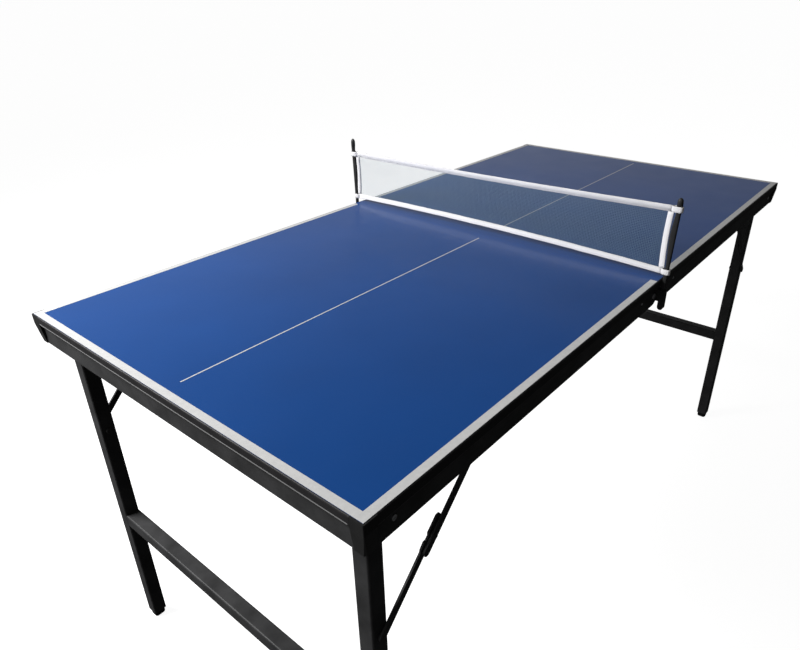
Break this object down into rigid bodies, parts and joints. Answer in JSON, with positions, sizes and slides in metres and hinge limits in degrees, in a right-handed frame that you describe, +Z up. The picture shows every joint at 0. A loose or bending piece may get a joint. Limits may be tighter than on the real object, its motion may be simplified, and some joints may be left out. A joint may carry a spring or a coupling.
{
  "type": "ping pong table",
  "caption": "Small folding ping pong table: framed blue halves hinged at the middle, folding braced leg frames, a clip-on net, a carry handle and a closing latch.",
  "frame": {"origin": "on the floor under the middle of the table, midway between the ends and the long sides", "axes": "+X along the table's length towards the half with the carry handle, +Y across the table towards the long side with the handle and latch, +Z up"},
  "size_m": [1.529, 0.773, 0.8675],
  "materials": {
    "blue_board": "satin blue paint on fibreboard",
    "black_edge_band": "satin black edge band",
    "black_plastic": "satin black moulding",
    "black_rubber": "matte black rubber",
    "black_painted_steel": "satin black powder coat",
    "zinc_steel": "dull zinc plating",
    "bright_steel": "bright plated steel",
    "white_tape": "white woven tape",
    "net_cord": "fine knotted cord mesh"
  },
  "bodies": {
    "half_a": {"top_panel_a": "blue_board", "edge_band_end_a": "black_edge_band", "end_rail_a": "black_painted_steel", "fold_rail_a": "black_painted_steel", "closing_stud_a": "black_rubber", "edge_band_near_a": "black_edge_band", "corner_cap_near_a": "black_plastic", "side_rail_near_a": "black_painted_steel", "leg_bolt_near_a": "zinc_steel", "edge_band_far_a": "black_edge_band", "corner_cap_far_a": "black_plastic", "side_rail_far_a": "black_painted_steel", "leg_bolt_far_a": "zinc_steel", "net_socket_near": "black_plastic", "net_socket_far": "black_plastic", "latch_keeper": "bright_steel"},
    "hinge_links": {"hinge_link_near": "zinc_steel", "hinge_link_far": "zinc_steel"},
    "half_b": {"top_panel_b": "blue_board", "edge_band_end_b": "black_edge_band", "end_rail_b": "black_painted_steel", "fold_rail_b": "black_painted_steel", "closing_stud_b": "black_rubber", "edge_band_near_b": "black_edge_band", "corner_cap_near_b": "black_plastic", "side_rail_near_b": "black_painted_steel", "leg_bolt_near_b": "zinc_steel", "edge_band_far_b": "black_edge_band", "corner_cap_far_b": "black_plastic", "side_rail_far_b": "black_painted_steel", "leg_bolt_far_b": "zinc_steel", "handle_bracket_left": "bright_steel", "handle_bracket_right": "bright_steel", "latch_base": "black_painted_steel"},
    "net_set": {"net_post_near": "black_plastic", "net_post_far": "black_plastic", "net_mesh": "net_cord", "net_top_tape": "white_tape", "net_bottom_tape": "white_tape", "net_side_tape_near": "white_tape", "net_side_tape_far": "white_tape"},
    "carry_handle": {"carry_handle": "black_plastic"},
    "latch_loop": {"latch_loop": "bright_steel"},
    "leg_frame_a": {"leg_frame_a": "black_painted_steel", "foot_near_a": "black_rubber", "foot_far_a": "black_rubber"},
    "brace_upper_near_a": {"brace_upper_near_a": "black_painted_steel"},
    "brace_lower_near_a": {"brace_lower_near_a": "black_painted_steel"},
    "brace_upper_far_a": {"brace_upper_far_a": "black_painted_steel"},
    "brace_lower_far_a": {"brace_lower_far_a": "black_painted_steel"},
    "leg_frame_b": {"leg_frame_b": "black_painted_steel", "foot_near_b": "black_rubber", "foot_far_b": "black_rubber"},
    "brace_upper_near_b": {"brace_upper_near_b": "black_painted_steel"},
    "brace_lower_near_b": {"brace_lower_near_b": "black_painted_steel"},
    "brace_upper_far_b": {"brace_upper_far_b": "black_painted_steel"},
    "brace_lower_far_b": {"brace_lower_far_b": "black_painted_steel"}
  },
  "joints": [
    {"name": "fold_a", "type": "hinge", "parent": "half_a", "child": "hinge_links", "pos_m": [-0.019, 0, 0.68925], "axis": [0, 1, 0], "range_deg": [0, 90]},
    {"name": "fold_b", "type": "hinge", "parent": "hinge_links", "child": "half_b", "pos_m": [0.019, 0, 0.68925], "axis": [0, 1, 0], "range_deg": [0, 90]},
    {"name": "leg_fold_a", "type": "hinge", "parent": "half_a", "child": "leg_frame_a", "pos_m": [-0.7145, 0, 0.6905], "axis": [0, -1, 0], "range_deg": [0, 90]},
    {"name": "brace_upper_near_a", "type": "hinge", "parent": "half_a", "child": "brace_upper_near_a", "pos_m": [-0.522, -0.352, 0.687], "axis": [0, -1, 0], "range_deg": [0, 134.57]},
    {"name": "brace_lower_near_a", "type": "hinge", "parent": "brace_upper_near_a", "child": "brace_lower_near_a", "pos_m": [-0.6252, -0.352, 0.58223], "axis": [0, -1, 0], "range_deg": [-179.15, 0]},
    {"name": "brace_upper_far_a", "type": "hinge", "parent": "half_a", "child": "brace_upper_far_a", "pos_m": [-0.522, 0.352, 0.687], "axis": [0, -1, 0], "range_deg": [0, 134.57]},
    {"name": "brace_lower_far_a", "type": "hinge", "parent": "brace_upper_far_a", "child": "brace_lower_far_a", "pos_m": [-0.6252, 0.352, 0.58223], "axis": [0, -1, 0], "range_deg": [-179.15, 0]},
    {"name": "leg_fold_b", "type": "hinge", "parent": "half_b", "child": "leg_frame_b", "pos_m": [0.7145, 0, 0.6905], "axis": [0, 1, 0], "range_deg": [0, 90]},
    {"name": "brace_upper_near_b", "type": "hinge", "parent": "half_b", "child": "brace_upper_near_b", "pos_m": [0.522, -0.352, 0.687], "axis": [0, 1, 0], "range_deg": [0, 134.57]},
    {"name": "brace_lower_near_b", "type": "hinge", "parent": "brace_upper_near_b", "child": "brace_lower_near_b", "pos_m": [0.6252, -0.352, 0.58223], "axis": [0, 1, 0], "range_deg": [-179.15, 0]},
    {"name": "brace_upper_far_b", "type": "hinge", "parent": "half_b", "child": "brace_upper_far_b", "pos_m": [0.522, 0.352, 0.687], "axis": [0, 1, 0], "range_deg": [0, 134.57]},
    {"name": "brace_lower_far_b", "type": "hinge", "parent": "brace_upper_far_b", "child": "brace_lower_far_b", "pos_m": [0.6252, 0.352, 0.58223], "axis": [0, 1, 0], "range_deg": [-179.15, 0]},
    {"name": "net_lift", "type": "slide", "parent": "half_a", "child": "net_set", "axis": [0, 0, 1], "range_m": [0, 0.09]},
    {"name": "handle_swing", "type": "hinge", "parent": "half_b", "child": "carry_handle", "pos_m": [0.418, 0.376, 0.693], "axis": [1, 0, 0], "range_deg": [0, 100]},
    {"name": "latch_swing", "type": "hinge", "parent": "half_b", "child": "latch_loop", "pos_m": [0.674, 0.3732, 0.676], "axis": [-1, 0, 0], "range_deg": [0, 180]}
  ],
  "couplings": [
    {"joint": "leg_fold_a", "follows": "fold_a", "ratio": 1},
    {"joint": "brace_upper_near_a", "follows": "fold_a", "ratio": 1.4952},
    {"joint": "brace_lower_near_a", "follows": "fold_a", "ratio": -1.9906},
    {"joint": "brace_upper_far_a", "follows": "fold_a", "ratio": 1.4952},
    {"joint": "brace_lower_far_a", "follows": "fold_a", "ratio": -1.9906},
    {"joint": "leg_fold_b", "follows": "fold_b", "ratio": 1},
    {"joint": "brace_upper_near_b", "follows": "fold_b", "ratio": 1.4952},
    {"joint": "brace_lower_near_b", "follows": "fold_b", "ratio": -1.9906},
    {"joint": "brace_upper_far_b", "follows": "fold_b", "ratio": 1.4952},
    {"joint": "brace_lower_far_b", "follows": "fold_b", "ratio": -1.9906}
  ]
}
